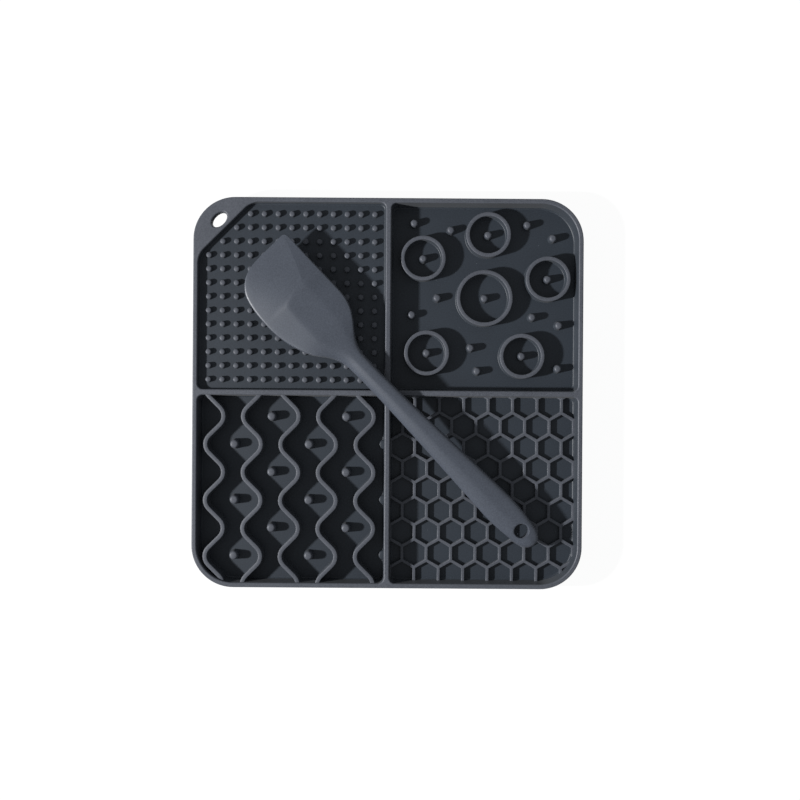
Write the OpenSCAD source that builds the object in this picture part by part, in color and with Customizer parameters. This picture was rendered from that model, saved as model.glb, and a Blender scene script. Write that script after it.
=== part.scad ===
// Square pet lick mat with four feeding panels, and the spatula that lies across it.
// Origin: middle of the plane that the mat stands on. +X right, +Y away, +Z up. Millimetres.

/* [Mat] */
// Length of each side of the mat
mat_w = 200; // [170:5:240]
// Height from the table to the top of the rim
mat_h = 15; // [14:0.5:18]
// Radius of the mat's outer corners
corner_r = 21.5; // [16:0.5:28]
// Thickness of the floor under all four panels
floor_t = 1.8; // [1.2:0.1:2.6]
// Thickness of the rim
rim_t = 2.4; // [1.8:0.1:3.2]
// Thickness of the dividers between the panels
divider_t = 2.9; // [2:0.1:4]
// Radius of a panel's corners beside the dividers
panel_corner_r = 3; // [2:0.5:5]

/* [Hanging tab] */
// Thickness of the tab, whose top is level with the rim
tab_t = 3; // [2:0.1:4]
// Reach of the tab corner, from the rounded corner in to the panel
tab_reach = 13.7; // [12.5:0.1:15]
// Thickness of the rim where it cuts across the tab corner
tab_wall_t = 1.5; // [1:0.1:1.6]
// Length of the oval hanging hole
tab_hole_l = 10.4; // [8:0.1:12]
// Width of the oval hanging hole
tab_hole_w = 7.2; // [5:0.1:7.8]
// Distance from the hanging hole to the panel
tab_hole_edge = 1.8; // [1.7:0.1:2.2]
// Distance of the hanging hole's middle from the corner's diagonal, towards the back edge
tab_hole_shift = 1.2; // [0:0.1:3]

/* [Short nub panel] */
// Depth of this panel below the rim
short_panel_depth = 4.1; // [3:0.1:5]
// Height of a short nub
short_nub_h = 2.5; // [2:0.1:2.9]
// Diameter of a short nub at its base
short_nub_base_d = 3.3; // [3.2:0.1:4]
// Diameter of a short nub at its tip
short_nub_tip_d = 2.9; // [2.2:0.1:3]
// Distance between neighbouring short nubs
short_nub_pitch = 7.1; // [6:0.1:9]

/* [Ring panel] */
// Outer diameter of the five small rings
ring_d = 23.2; // [20:0.2:25]
// Outer diameter of the large ring
large_ring_d = 29; // [26:0.5:31]
// Thickness of a ring's wall
ring_t = 2; // [1.6:0.1:2.4]
// Height of the rings
ring_h = 6.8; // [4.5:0.1:8]
// Height of the nubs on the ring panel
ring_nub_h = 5; // [3:0.1:7]
// Diameter of these nubs at the base
ring_nub_base_d = 4.5; // [4.2:0.1:5.4]
// Diameter of these nubs at the tip
ring_nub_tip_d = 3.5; // [2.8:0.1:4.1]

/* [Wave panel] */
// Distance between neighbouring wavy ribs
rib_pitch = 19.3; // [18.5:0.1:22]
// Thickness of a wavy rib
rib_t = 2.2; // [1.6:0.1:2.6]
// Height of the wavy ribs
rib_h = 9.3; // [6:0.1:9.8]
// Distance from the rim to the middle line of the first rib
rib_margin = 8.8; // [8:0.1:10]
// Length of one full wave
wave_l = 28.8; // [27:0.2:32]
// Sideways reach of a wave from its middle line
wave_reach = 4.65; // [3.9:0.05:4.9]
// Radius of a wave's bends
wave_bend_r = 6.2; // [5.8:0.1:6.4]
// Height of the nubs between the ribs
wave_nub_h = 6; // [4:0.1:8]
// Height of the low nubs against the divider
wave_edge_nub_h = 1.3; // [1:0.1:2]
// Diameter of these nubs at the base
wave_nub_base_d = 5.3; // [4.6:0.1:5.6]
// Diameter of these nubs at the tip
wave_nub_tip_d = 4.2; // [3:0.1:4.5]

/* [Honeycomb panel] */
// Distance between neighbouring honeycomb cells
cell_pitch = 12.7; // [11:0.1:16]
// Thickness of the walls between the cells
cell_wall_t = 1.65; // [1.2:0.05:2.2]
// Height of the walls between the cells
cell_wall_h = 2.4; // [1.6:0.1:4]

/* [Suction cups] */
// Height of the suction cups below the floor
cup_h = 2.4; // [2:0.1:3]
// Diameter of a suction cup at its lip
cup_d = 22; // [18:0.5:22.5]
// Diameter of a suction cup at its neck
cup_neck_d = 12; // [8:0.5:14]
// Thickness of a suction cup's lip
cup_lip_t = 0.5; // [0.4:0.05:0.8]
// Depth of the hollow under a suction cup
cup_hollow_h = 1.4; // [1:0.1:1.5]
// Distance between neighbouring suction cups
cup_pitch = 31; // [30.5:0.1:31.2]

/* [Spatula] */
// Length of the blade, from the neck to the front edge
blade_l = 70.7; // [60:0.1:80]
// Reach of the blade to the left of the handle's middle line
blade_left_w = 20.2; // [16:0.1:24]
// Reach of the blade to the right of the handle's middle line
blade_right_w = 19.5; // [16:0.1:24]
// Thickness of the blade at its edges
blade_edge_t = 1.3; // [1:0.1:2]
// Height by which the blade curls up at its front edge
blade_rise = 2.5; // [0:0.1:5]
// Length of the handle, from the neck to its round end
handle_l = 131.6; // [110:0.1:140]
// Width of the handle at the neck
neck_w = 9.8; // [9:0.1:12]
// Width of the handle near its round end
handle_w = 16.3; // [14:0.1:20]
// Thickness of the handle
handle_t = 7.4; // [6.8:0.1:9]
// Diameter of the hole that the spatula hangs by
hang_hole_d = 7.4; // [5:0.1:8]
// Distance from the hanging hole's middle to the round end
hang_hole_inset = 10.1; // [8.5:0.1:12]
// Width of the stiffening core inside the handle
core_w = 5.6; // [4:0.1:6.4]
// Thickness of the core inside the handle
core_t = 3.6; // [2.4:0.1:4]
// Width of the core's tongue inside the blade
tongue_w = 9; // [6:0.5:10]
// Thickness of the core's tongue
tongue_t = 1.6; // [1:0.1:2]
// Direction of the spatula across the mat, in degrees from +X to its blade
spatula_turn = 134.6; // [120:0.1:150]
// Tilt of the spatula, blade up, in degrees
spatula_tilt = 2.7; // [1:0.1:2.8]

/* [Hidden] */
$fn = 96;

// Overrun of cuts past the faces that they cut
overrun = 1;
// Gap between the handle's underside and the dividers that it lies on
rest_gap = 0.5;
// Least width over which the blade's face slopes down to an edge
least_slope_w = 1;
// Gap between the ends of neighbouring honeycomb walls
wall_seam = 0.06;
// Gap between low walls and the rim or divider beside them
side_seam = 0.04;
// Height over which a nub's tip narrows, and how far it narrows on each side
nub_tip_round = 0.6;
// Distance that a mat-long cut has to reach
far = 2 * mat_w;

floor_top = cup_h + floor_t;
inner_r = corner_r - rim_t;
inner_half = mat_w / 2 - rim_t;
panel_near = divider_t / 2;
panel_w = inner_half - panel_near;
panel_mid = (inner_half + panel_near) / 2;
raised_top = mat_h - short_panel_depth;

// Distances from the middle of the mat, along its diagonal, at the tab corner
corner_tip = (mat_w / 2 - corner_r) * sqrt(2) + corner_r;
tab_panel_face = corner_tip - tab_reach;
tab_outer_face = tab_panel_face + tab_wall_t;
tab_hole_at = tab_panel_face + tab_hole_edge + tab_hole_w / 2;

// Middles of the rings and of the free nubs, as shares of the panel from its inner corner
small_ring_shares = [[0.172, 0.711], [0.521, 0.840], [0.842, 0.604], [0.193, 0.203], [0.705, 0.189]];
large_ring_shares = [[0.502, 0.499]];
free_nub_shares = [[0.123, 0.902], [0.320, 0.866], [0.732, 0.896], [0.870, 0.825],
    [0.248, 0.500], [0.112, 0.409], [0.760, 0.399], [0.904, 0.356], [0.429, 0.232],
    [0.465, 0.107], [0.900, 0.123]];

// Wavy ribs: the first bend below the divider, and the count of ribs and bends
rib_first_bend_share = 0.114;
rib_count = floor((panel_w - rib_margin) / rib_pitch) + 1;
bend_count = floor(2 * panel_w / wave_l) + 3;
rib_first_x = rib_margin - inner_half;
bend_steps = 6;

// Honeycomb: a regular cell's corner radius, its row pitch and the first cell's middle
cell_r = cell_pitch / sqrt(3);
row_pitch = cell_r * 3 / 2;
first_cell_share = [0.0676, 0.0484];

cup_count = floor((mat_w - corner_r) / cup_pitch) + 1;

// Blade outline: left and right edge, as [share of its length, share of its reach]
left_edge_shares = [[0, 0.252], [0.057, 0.295], [0.113, 0.384], [0.17, 0.525], [0.226, 0.686],
    [0.283, 0.787], [0.339, 0.856], [0.453, 0.958], [0.566, 1], [0.679, 0.985], [0.792, 0.931],
    [0.849, 0.876], [0.893, 0.807], [0.928, 0.703], [0.96, 0.554], [0.984, 0.381], [0.996, 0.173],
    [1, -0.03]];
right_edge_shares = [[0, 0.272], [0.057, 0.313], [0.113, 0.41], [0.17, 0.574], [0.226, 0.738],
    [0.283, 0.867], [0.339, 0.949], [0.453, 0.995], [0.928, 1], [0.96, 1], [0.984, 0.98],
    [0.996, 0.945], [1, 0.9]];
// Flat top of the blade's spine: its middle and half width, as shares of the right reach
spine_mid_shares = [[0, 0], [0.17, -0.06], [0.29, -0.065], [0.65, -0.2], [0.82, -0.55], [1, -0.65]];
spine_half_shares = [[0, 0.02], [0.17, 0.17], [0.29, 0.33], [0.65, 0.22], [0.82, 0.05], [1, 0.02]];
// Thickness of the spine, as a share of the handle's thickness
spine_t_shares = [[0, 1], [0.29, 1], [0.65, 0.82], [0.85, 0.43], [1, 0.2]];
// Roundness of the blade's section: 2 is an oval and 1 has straight sides
section_power_shares = [[0, 2], [0.29, 1.1], [1, 1]];
blade_station_shares = [0, 0.057, 0.113, 0.17, 0.226, 0.283, 0.339, 0.453, 0.566, 0.679, 0.792,
    0.849, 0.893, 0.928, 0.96, 0.984, 0.996, 1];

// Handle width between neck and round end, as [share of its length, share of its swell]
handle_swell_shares = [[0, 0.06], [0.08, 0], [0.18, 0.05], [0.27, 0.14], [0.41, 0.36], [0.57, 0.64],
    [0.72, 0.88], [0.79, 1], [0.81, 1], [0.844, 0.96], [0.88, 0.83], [0.912, 0.68], [0.95, 0.49],
    [1, 0.49]];
handle_thin_share = 0.86;
handle_station_shares = [0, 0.08, 0.18, 0.27, 0.41, 0.57, 0.72, 0.79, 0.81, 0.844, 0.88, 0.912, 0.95];
end_angles = [25, 45, 60, 72, 82];
section_steps = 10;

core_end_gap = 5;
core_l = handle_l - hang_hole_inset - hang_hole_d / 2 - core_end_gap;
tongue_l_share = 0.6;
tongue_l = blade_l * tongue_l_share;

// Place of the spatula's neck, as shares of the mat's side
spatula_place_share = [-0.0825, 0.083];
neck_xy = spatula_place_share * mat_w;
neck_z = mat_h + rest_gap + handle_t / 2 + norm(neck_xy) * sin(spatula_tilt);

// Flat shapes

// Square with round corners, in the middle of the plane
module rounded_square(w, r) {
    square([w, w - 2 * r], center = true);
    square([w - 2 * r, w], center = true);
    for (x = [-1, 1], y = [-1, 1])
        translate([x, y] * (w / 2 - r)) circle(r);
}

// Everything past a line across the tab corner, at a distance from the middle of the mat
module past_corner(distance) {
    rotate(135)
        translate([distance, -far / 2]) square(far);
}

// Outline of the mat where it stands at full height
module mat_outline() {
    difference() {
        rounded_square(mat_w, corner_r);
        past_corner(tab_outer_face);
    }
}

// Space inside the rim
module inside_rim(seam = 0) {
    difference() {
        rounded_square(2 * (inner_half - seam), inner_r - seam);
        past_corner(tab_panel_face - seam);
    }
}

// Outline of one panel, on the side of the dividers that sx and sy give
module panel_outline(sx, sy, seam = 0) {
    intersection() {
        inside_rim(seam);
        translate([sx, sy] * panel_mid) rounded_square(panel_w - 2 * seam, panel_corner_r - seam);
    }
}

// Solid pieces that repeat

// Upright nub with a narrowed tip
module nub(h, base_d, tip_d) {
    cylinder(h = h - nub_tip_round, d1 = base_d, d2 = tip_d, $fn = 48);
    translate([0, 0, h - nub_tip_round])
        cylinder(h = nub_tip_round, d1 = tip_d, d2 = tip_d - 2 * nub_tip_round, $fn = 48);
}

module ring(d) {
    difference() {
        cylinder(h = ring_h, d = d);
        translate([0, 0, -overrun]) cylinder(h = ring_h + 2 * overrun, d = d - 2 * ring_t);
    }
}

// Places its children on the ring panel's floor at each of the given shares
module on_ring_panel(shares) {
    for (share = shares)
        translate([panel_near + share.x * panel_w, panel_near + share.y * panel_w, floor_top])
            children();
}

// Mat

module base_floor() {
    color("#3c424b")
        translate([0, 0, cup_h])
            linear_extrude(floor_t) mat_outline();
}

module outer_rim() {
    color("#4a515b")
        translate([0, 0, floor_top])
            linear_extrude(mat_h - floor_top)
                difference() {
                    mat_outline();
                    inside_rim();
                }
}

module hanging_tab() {
    color("#4a515b")
        translate([0, 0, mat_h - tab_t])
            linear_extrude(tab_t)
                difference() {
                    intersection() {
                        rounded_square(mat_w, corner_r);
                        past_corner(tab_outer_face);
                    }
                    rotate(135) translate([tab_hole_at, -tab_hole_shift]) tab_hole();
                }
}

module tab_hole() {
    straight = tab_hole_l - tab_hole_w;
    square([tab_hole_w, straight], center = true);
    for (side = [-1, 1])
        translate([0, side * straight / 2]) circle(d = tab_hole_w);
}

module panel_dividers() {
    color("#4a515b")
        translate([0, 0, floor_top])
            linear_extrude(mat_h - floor_top)
                difference() {
                    inside_rim();
                    for (sx = [-1, 1], sy = [-1, 1])
                        panel_outline(sx, sy);
                }
}

module raised_panel_floor() {
    color("#434952")
        translate([0, 0, floor_top])
            linear_extrude(raised_top - floor_top) panel_outline(-1, 1);
}

module short_nubs() {
    count = floor((panel_w - short_nub_pitch) / short_nub_pitch) + 1;
    first = -short_nub_pitch * (count - 1) / 2;
    corner_limit = tab_panel_face * sqrt(2) - short_nub_base_d;
    color("#565d68")
        for (i = [0:count - 1], j = [0:count - 1]) {
            x = -panel_mid + first + i * short_nub_pitch;
            y = panel_mid + first + j * short_nub_pitch;
            if (y - x < corner_limit)
                translate([x, y, raised_top])
                    nub(short_nub_h, short_nub_base_d, short_nub_tip_d);
        }
}

module small_rings() {
    color("#4d545f")
        on_ring_panel(small_ring_shares) ring(ring_d);
}

module large_ring() {
    color("#4d545f")
        on_ring_panel(large_ring_shares) ring(large_ring_d);
}

module ring_panel_nubs() {
    color("#565d68")
        on_ring_panel(concat(small_ring_shares, large_ring_shares, free_nub_shares))
            nub(ring_nub_h, ring_nub_base_d, ring_nub_tip_d);
}

// Height along the panel of a rib's bend number k
function bend_y(k) = -panel_near - rib_first_bend_share * panel_w + wave_l / 2 * (1 - k);

// One side of a rib: an arc at each bend, joined by straight flanks
function rib_side(first_side, offset) = [
    for (k = [0:bend_count], step = [0:bend_steps])
        let (
            side = first_side * (k % 2 == 0 ? 1 : -1),
            angle = 45 - 90 * step / bend_steps,
            r = wave_bend_r + side * offset
        )
        [side * (wave_reach - wave_bend_r + r * cos(angle)), bend_y(k) + r * sin(angle)]
];

function backwards(list) = [for (i = [len(list) - 1:-1:0]) list[i]];

// Outline of one wavy rib; first_side is the side of its first bend
module rib_outline(first_side) {
    polygon(concat(rib_side(first_side, rib_t / 2), backwards(rib_side(first_side, -rib_t / 2))));
}

module wave_ribs() {
    color("#4d545f")
        translate([0, 0, floor_top])
            linear_extrude(rib_h)
                intersection() {
                    panel_outline(-1, -1, side_seam);
                    for (i = [0:rib_count - 1])
                        translate([rib_first_x + i * rib_pitch, 0])
                            rib_outline(i % 2 == 0 ? -1 : 1);
                }
}

module wave_panel_nubs() {
    color("#565d68")
        intersection() {
            linear_extrude(far) panel_outline(-1, -1, side_seam);
            for (i = [0:rib_count - 1], k = [1:bend_count])
                if ((i + k) % 2 == 0 && bend_y(k) > wave_nub_base_d - inner_half)
                    translate([rib_first_x + (i + 0.5) * rib_pitch, bend_y(k), floor_top])
                        nub(i == rib_count - 1 ? wave_edge_nub_h : wave_nub_h,
                            wave_nub_base_d, wave_nub_tip_d);
        }
}

// Wall between two cells, along Y, pointed at both ends so that three of them meet
module cell_wall() {
    point = cell_r / 2 - wall_seam;
    side = cell_wall_t / 2;
    shoulder = point - side / sqrt(3);
    polygon([[0, point], [-side, shoulder], [-side, -shoulder],
        [0, -point], [side, -shoulder], [side, shoulder]]);
}

module honeycomb_walls() {
    rows = ceil(panel_w / row_pitch) + 1;
    columns = ceil(panel_w / cell_pitch) + 1;
    color("#4d545f")
        translate([0, 0, floor_top])
            linear_extrude(cell_wall_h)
                intersection() {
                    panel_outline(1, -1, side_seam);
                    for (row = [0:rows], column = [-1:columns])
                        translate([
                            panel_near + first_cell_share.x * panel_w
                                + (column + (row % 2) / 2) * cell_pitch,
                            -panel_near - first_cell_share.y * panel_w - row * row_pitch
                        ])
                            for (side = [0:2])
                                rotate(60 * side)
                                    translate([cell_pitch / 2, 0]) cell_wall();
                }
}

// Suction cup below the floor, hollow under its lip
module suction_cup() {
    lip_r = cup_d / 2;
    neck_r = cup_neck_d / 2;
    rotate_extrude()
        polygon([[0, cup_h], [neck_r, cup_h], [lip_r, cup_lip_t], [lip_r, 0],
            [lip_r - cup_lip_t, 0], [neck_r / 2, cup_hollow_h], [0, cup_hollow_h]]);
}

module suction_cups() {
    color("#3c424b")
        for (i = [0:cup_count - 1], j = [0:cup_count - 1])
            translate([i - (cup_count - 1) / 2, j - (cup_count - 1) / 2, 0] * cup_pitch)
                suction_cup();
}

// Spatula, modelled along +X from its neck, its left side towards +Y

// Section across the spatula at x: edges at left and right, a flat top of half width flat
// about mid, half thickness half_t, centre height rise, and a power for its roundness
function section(x, left, right, mid, flat, half_t, edge, rise, power) = [
    for (face = [1, -1], i = [0:section_steps])
        let (
            across = -face * cos(180 * i / section_steps),
            reach = across > 0 ? left - mid : mid - right,
            out = max(0, abs(across) * reach - flat) / max(reach - flat, least_slope_w),
            fall = pow(1 - pow(min(out, 1), power), 1 / power)
        )
        [x, mid + across * reach, rise + face * (edge + (half_t - edge) * fall)]
];

// Triangles of a skin over a row of sections, closed at both ends
module loft(sections) {
    count = len(sections[0]);
    last = len(sections) - 1;
    skin = [
        for (s = [0:last - 1], i = [0:count - 1])
            let (
                a = s * count + i,
                b = s * count + (i + 1) % count
            )
            each [[a, b, b + count], [a, b + count, a + count]]
    ];
    near = [for (i = [count - 1:-1:0]) i];
    end = [for (i = [0:count - 1]) last * count + i];
    polyhedron([for (s = sections) each s], concat(skin, [near, end]));
}

// Blade section at a share of the blade's length
function blade_section(share) = section(
    share * blade_l,
    blade_left_w * lookup(share, left_edge_shares),
    -blade_right_w * lookup(share, right_edge_shares),
    blade_right_w * lookup(share, spine_mid_shares),
    blade_right_w * lookup(share, spine_half_shares),
    handle_t / 2 * lookup(share, spine_t_shares),
    blade_edge_t / 2,
    blade_rise * share * share,
    lookup(share, section_power_shares)
);

// Half width and half thickness of the handle at a share of its length
function handle_half_w(share) = (neck_w + (handle_w - neck_w) * lookup(share, handle_swell_shares)) / 2;
function handle_half_t(share) = handle_t / 2 * (1 - (1 - handle_thin_share) * share);

// Handle section, drawn in towards its middle by shrink
function handle_section(share, x, shrink) = section(
    x, handle_half_w(share) * shrink, -handle_half_w(share) * shrink, 0, 0,
    handle_half_t(share) * (1 + shrink) / 2, blade_edge_t / 2, 0, 2
);

module place_spatula() {
    translate([neck_xy.x, neck_xy.y, neck_z])
        rotate([0, -spatula_tilt, spatula_turn])
            children();
}

// Stiffening core: a bar that reaches a little past the neck, and a flat tongue in the blade
module core_shape() {
    translate([-core_l, -core_w / 2, -core_t / 2]) cube([core_l + core_w, core_w, core_t]);
    translate([core_w / 2, -tongue_w / 2, -tongue_t / 2])
        cube([tongue_l - core_w / 2, tongue_w, tongue_t]);
}

module spatula_blade() {
    color("#5d646f")
        place_spatula()
            difference() {
                loft([for (share = blade_station_shares) blade_section(share)]);
                core_shape();
            }
}

module spatula_handle() {
    straight = [for (share = backwards(handle_station_shares)) handle_section(share, -share * handle_l, 1)];
    end_r = handle_half_w(1);
    round_end = [
        for (angle = backwards(end_angles))
            handle_section(1, -handle_l + end_r * (1 - sin(angle)), cos(angle))
    ];
    color("#5d646f")
        place_spatula()
            difference() {
                loft(concat(round_end, straight));
                core_shape();
                translate([hang_hole_inset - handle_l, 0, -handle_t])
                    cylinder(h = 2 * handle_t, d = hang_hole_d);
            }
}

module spatula_core() {
    color("#2e3136")
        place_spatula() core_shape();
}

base_floor();
outer_rim();
hanging_tab();
panel_dividers();
raised_panel_floor();
short_nubs();
small_rings();
large_ring();
ring_panel_nubs();
wave_ribs();
wave_panel_nubs();
honeycomb_walls();
suction_cups();
spatula_blade();
spatula_handle();
spatula_core();
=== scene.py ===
"""Silicone lick mat with four feeding panels and the spatula laid across it.

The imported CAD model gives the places. Every moulded feature is modelled again here with its
draft, fillets and rounded edges, and dressed in matte silicone. Lengths are metres.
"""

import logging
import math
from collections.abc import Callable, Iterator, Sequence
from contextlib import contextmanager
from dataclasses import dataclass, field, replace
from enum import Enum

import bmesh
import bpy
from mathutils import Matrix, Vector

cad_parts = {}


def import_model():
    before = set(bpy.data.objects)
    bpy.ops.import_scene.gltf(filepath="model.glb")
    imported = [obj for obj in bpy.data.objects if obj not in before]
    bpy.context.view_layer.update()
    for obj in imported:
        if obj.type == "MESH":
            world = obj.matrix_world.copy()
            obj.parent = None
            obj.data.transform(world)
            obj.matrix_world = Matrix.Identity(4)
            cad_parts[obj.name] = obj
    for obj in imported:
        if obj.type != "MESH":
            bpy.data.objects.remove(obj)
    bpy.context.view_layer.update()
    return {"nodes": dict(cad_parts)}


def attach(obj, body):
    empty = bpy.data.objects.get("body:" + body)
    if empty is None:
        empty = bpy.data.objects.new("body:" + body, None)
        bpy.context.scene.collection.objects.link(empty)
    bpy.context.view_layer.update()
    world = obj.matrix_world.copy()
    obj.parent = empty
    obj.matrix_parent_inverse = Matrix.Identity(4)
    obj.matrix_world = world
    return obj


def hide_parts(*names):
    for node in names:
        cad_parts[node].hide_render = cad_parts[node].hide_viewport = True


LOG = logging.getLogger("lick_mat")
MM = 0.001
WELD = 0.002 * MM
NEAR = 10 * WELD
SHARP = math.radians(46)

Point = tuple[float, float, float]
Spot = tuple[float, float]
Colour = Point | bpy.types.NodeSocket
Inputs = dict[str | int, float | tuple[float, ...] | bpy.types.NodeSocket]


class Part(Enum):
    """Kind of mesh element that a selection is made of."""

    VERT = "verts"
    EDGE = "edges"
    FACE = "faces"


class Panel(Enum):
    """Feeding panel, named by its texture, with the sides of the dividers it lies on."""

    SHORT_NUBS = (-1, 1)
    RINGS = (1, 1)
    WAVES = (-1, -1)
    HONEYCOMB = (1, -1)


# Modelling helpers


def alone(*pieces: bpy.types.Object) -> None:
    """Selects only some pieces, and makes the first one active.

    Args:
        pieces: The objects that the next operator acts on.
    """
    bpy.ops.object.select_all(action="DESELECT")
    for piece in pieces:
        piece.select_set(True)
    bpy.context.view_layer.objects.active = pieces[0]


@contextmanager
def editing(piece: bpy.types.Object) -> Iterator[None]:
    """Opens a piece in edit mode with everything selected, and closes it again.

    Args:
        piece: The mesh to edit.
    """
    alone(piece)
    bpy.ops.object.mode_set(mode="EDIT")
    bpy.ops.mesh.select_mode(type="VERT")
    bpy.ops.mesh.select_all(action="SELECT")
    yield
    bpy.ops.object.mode_set(mode="OBJECT")


def pick(piece: bpy.types.Object, part: Part, test: Callable[..., bool]) -> int:
    """Selects the elements of a mesh in edit mode that pass a test, and nothing else.

    Args:
        piece: The mesh in edit mode.
        part: The kind of element to select.
        test: Says whether an element is selected.

    Returns:
        How many elements were selected.
    """
    bpy.ops.mesh.select_mode(type=part.name)
    bpy.ops.mesh.select_all(action="DESELECT")
    mesh = bmesh.from_edit_mesh(piece.data)
    chosen = [element for element in getattr(mesh, part.value) if test(element)]
    for element in chosen:
        element.select_set(True)
    bmesh.update_edit_mesh(piece.data)
    return len(chosen)


def is_upright(edge: bmesh.types.BMEdge) -> bool:
    """Says whether an edge runs straight up."""
    run = edge.verts[1].co - edge.verts[0].co
    return abs(run.z) > 0.9 * run.length


def is_sharp_at(edge: bmesh.types.BMEdge, *heights: float) -> bool:
    """Says whether an edge is sharp and lies level at one of some heights.

    Args:
        edge: The edge to look at.
        heights: The heights to compare with.

    Returns:
        True where both ends are at one of the heights and the faces meet at an angle.
    """
    level = any(all(abs(v.co.z - z) < NEAR for v in edge.verts) for z in heights)
    return level and edge.calc_face_angle(0) > SHARP


def round_edges(
    piece: bpy.types.Object, test: Callable[..., bool], radius: float, steps: int = 3
) -> None:
    """Bevels the chosen edges of a mesh in edit mode.

    Args:
        piece: The mesh in edit mode.
        test: Says whether an edge is rounded.
        radius: The radius at a square corner.
        steps: The number of segments in the rounding.
    """
    if pick(piece, Part.EDGE, test):
        bpy.ops.mesh.bevel(
            offset=radius, segments=steps, profile=0.5, affect="EDGES", clamp_overlap=False
        )


def add_block(name: str, low: Point, high: Point) -> bpy.types.Object:
    """Adds a cube primitive between two corners.

    Args:
        name: The object's name.
        low: The lowest corner.
        high: The highest corner.

    Returns:
        The new object, with its place in its mesh.
    """
    size = Vector(high) - Vector(low)
    bpy.ops.object.select_all(action="DESELECT")
    bpy.ops.mesh.primitive_cube_add(size=1, location=(Vector(low) + Vector(high)) / 2, scale=size)
    return settle(bpy.context.active_object, name)


def settle(piece: bpy.types.Object, name: str) -> bpy.types.Object:
    """Names a piece and moves its place, turn and scale into its mesh.

    Args:
        piece: The object.
        name: Its new name.

    Returns:
        The same object.
    """
    alone(piece)
    bpy.ops.object.transform_apply(location=True, rotation=True, scale=True)
    piece.name = piece.data.name = name
    return piece


def apply_modifier(piece: bpy.types.Object, kind: str, **settings: object) -> None:
    """Adds a modifier to a piece and applies it.

    Args:
        piece: The object.
        kind: The modifier's type.
        settings: The modifier's properties.
    """
    alone(piece)
    modifier = piece.modifiers.new(kind.title(), kind)
    for key, value in settings.items():
        setattr(modifier, key, value)
    bpy.ops.object.modifier_apply(modifier=modifier.name)


def combine(piece: bpy.types.Object, tool: bpy.types.Object, operation: str) -> None:
    """Cuts a piece with a tool solid, or keeps what they share, and deletes the tool.

    Args:
        piece: The object that stays.
        tool: The object that is used up.
        operation: DIFFERENCE or INTERSECT.
    """
    apply_modifier(piece, "BOOLEAN", operation=operation, object=tool, solver="EXACT")
    bpy.data.objects.remove(tool)


def join(pieces: Sequence[bpy.types.Object], name: str) -> bpy.types.Object:
    """Joins pieces into one object.

    Args:
        pieces: The objects to join, each at the origin.
        name: The name of the result.

    Returns:
        The joined object.
    """
    alone(*pieces)
    if len(pieces) > 1:
        bpy.ops.object.join()
    return settle(pieces[0], name)


def repeat(master: bpy.types.Object, spots: Sequence[Point], name: str) -> bpy.types.Object:
    """Copies a piece to each of some places, each copy with its own mesh, and joins the copies.

    Args:
        master: The piece, modelled at the origin. It is used up.
        spots: The places of the copies.
        name: The name of the joined object.

    Returns:
        The joined object.
    """
    copies = []
    for spot in spots:
        alone(master)
        bpy.ops.object.duplicate(linked=False)
        copy = bpy.context.active_object
        copy.location = spot
        copies.append(copy)
    bpy.data.objects.remove(master)
    return join(copies, name)


def weld() -> None:
    """Merges the doubled points of the mesh in edit mode and turns its faces outwards."""
    bpy.ops.mesh.select_mode(type="VERT")
    bpy.ops.mesh.select_all(action="SELECT")
    bpy.ops.mesh.remove_doubles(threshold=WELD)
    bpy.ops.mesh.delete_loose(use_verts=True, use_edges=True, use_faces=False)
    bpy.ops.mesh.select_all(action="SELECT")
    bpy.ops.mesh.normals_make_consistent(inside=False)


def smooth(piece: bpy.types.Object, weighted: bool = False) -> None:
    """Shades a piece smooth up to its sharp edges.

    Args:
        piece: The object.
        weighted: True keeps large flat faces flat beside their rounded edges.
    """
    alone(piece)
    bpy.ops.object.shade_smooth_by_angle(angle=SHARP)
    if weighted:
        apply_modifier(piece, "WEIGHTED_NORMAL", keep_sharp=True, weight=80)


def spin_profile(name: str, profile: Sequence[Spot], steps: int) -> bpy.types.Object:
    """Turns a closed outline of distance and height around the upright axis.

    Args:
        name: The object's name.
        profile: The outline's points, as distance from the axis and height.
        steps: The number of steps in the full turn.

    Returns:
        The closed, turned object.
    """
    bpy.ops.object.select_all(action="DESELECT")
    bpy.ops.mesh.primitive_circle_add(vertices=len(profile), radius=MM, fill_type="NOTHING")
    piece = settle(bpy.context.active_object, name)
    with editing(piece):
        mesh = bmesh.from_edit_mesh(piece.data)
        mesh.verts.ensure_lookup_table()
        for vert, (out, height) in zip(mesh.verts, profile):
            vert.co = (out, 0, height)
        bmesh.update_edit_mesh(piece.data)
        bpy.ops.mesh.spin(steps=steps, angle=math.tau, center=(0, 0, 0), axis=(0, 0, 1))
        weld()
    return piece


def between(table: Sequence[Spot], x: float) -> float:
    """Reads a value from a table of points joined by straight lines.

    Args:
        table: Points with rising first values.
        x: The place to read.

    Returns:
        The value there, or the end's value beyond the table's ends.
    """
    if x <= table[0][0]:
        return table[0][1]
    for (x0, y0), (x1, y1) in zip(table, table[1:]):
        if x <= x1:
            return y0 + (y1 - y0) * (x - x0) / (x1 - x0)
    return table[-1][1]


def cut_away(place: Sequence[float], way: Sequence[float]) -> None:
    """Cuts a mesh in edit mode with a plane, drops what is past it and closes the cut.

    Args:
        place: A point of the plane.
        way: The direction in which everything goes.
    """
    bpy.ops.mesh.select_all(action="SELECT")
    bpy.ops.mesh.bisect(
        plane_co=place, plane_no=way, use_fill=True, clear_outer=True, threshold=WELD
    )


# Finishes


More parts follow.
